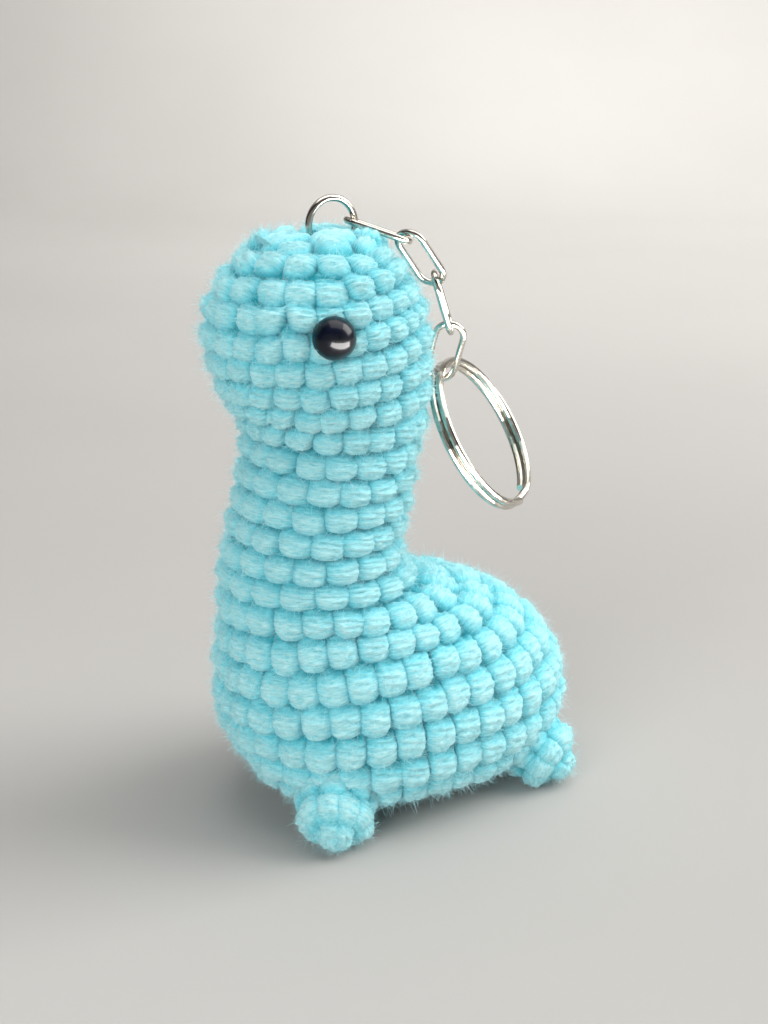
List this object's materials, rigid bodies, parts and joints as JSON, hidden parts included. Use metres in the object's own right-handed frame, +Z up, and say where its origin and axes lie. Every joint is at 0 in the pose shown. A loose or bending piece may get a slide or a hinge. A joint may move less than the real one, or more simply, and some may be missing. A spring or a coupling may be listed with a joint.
{
  "type": "plush keychain",
  "caption": "Crocheted long-necked animal on four bobble feet, with safety eyes, and a chain and split key ring on a jump ring in its crown.",
  "frame": {"origin": "on the surface that it stands on, at the middle of the bounding box", "axes": "+Z up; -Y is the way the animal faces; +X is its left side"},
  "size_m": [0.042, 0.0591, 0.0934],
  "materials": {
    "yarn": "matte, fuzzy crocheted yarn",
    "stuffing": "loose polyester fibre",
    "eye": "polished",
    "washer": "moulded",
    "chain_metal": "nickel plated, polished",
    "ring_metal": "nickel plated, polished"
  },
  "bodies": {
    "plush": {"crochet_shell": "yarn", "fibre_stuffing": "stuffing", "foot_front_left": "yarn", "foot_front_right": "yarn", "foot_rear_left": "yarn", "foot_rear_right": "yarn", "eye_left": "eye", "eye_right": "eye", "washer_left": "washer", "washer_right": "washer"},
    "jump_ring": {"jump_ring": "chain_metal"},
    "link_1": {"chain_link_1": "chain_metal"},
    "link_2": {"chain_link_2": "chain_metal"},
    "link_3": {"chain_link_3": "chain_metal"},
    "link_4": {"chain_link_4": "chain_metal"},
    "key_ring": {"split_ring": "ring_metal"}
  },
  "joints": [
    {"name": "jump_ring_turn", "type": "hinge", "parent": "plush", "child": "jump_ring", "pos_m": [0, -0.0101, 0.0892], "axis": [1, 0, 0], "range_deg": [0, 60]},
    {"name": "link_1_swing", "type": "hinge", "parent": "jump_ring", "child": "link_1", "pos_m": [0, -0.0064, 0.0893], "axis": [0, -0.027, 0.9996], "range_deg": [0, 35]},
    {"name": "link_2_lift", "type": "hinge", "parent": "link_1", "child": "link_2", "pos_m": [0.0046, 0, 0.0867], "axis": [0.6831, -0.6897, -0.2401], "range_deg": [0, 60]},
    {"name": "link_3_swing", "type": "hinge", "parent": "link_2", "child": "link_3", "pos_m": [0.0047, 0.0047, 0.0804], "axis": [0.7558, 0.5895, 0.285], "range_deg": [0, 60]},
    {"name": "link_4_lift", "type": "hinge", "parent": "link_3", "child": "link_4", "pos_m": [0.0043, 0.0076, 0.0729], "axis": [0.8058, -0.5298, -0.2647], "range_deg": [0, 60]},
    {"name": "key_ring_swing", "type": "hinge", "parent": "link_4", "child": "key_ring", "pos_m": [0.0013, 0.0074, 0.0652], "axis": [-0.5093, -0.832, 0.22], "range_deg": [0, 60]}
  ]
}
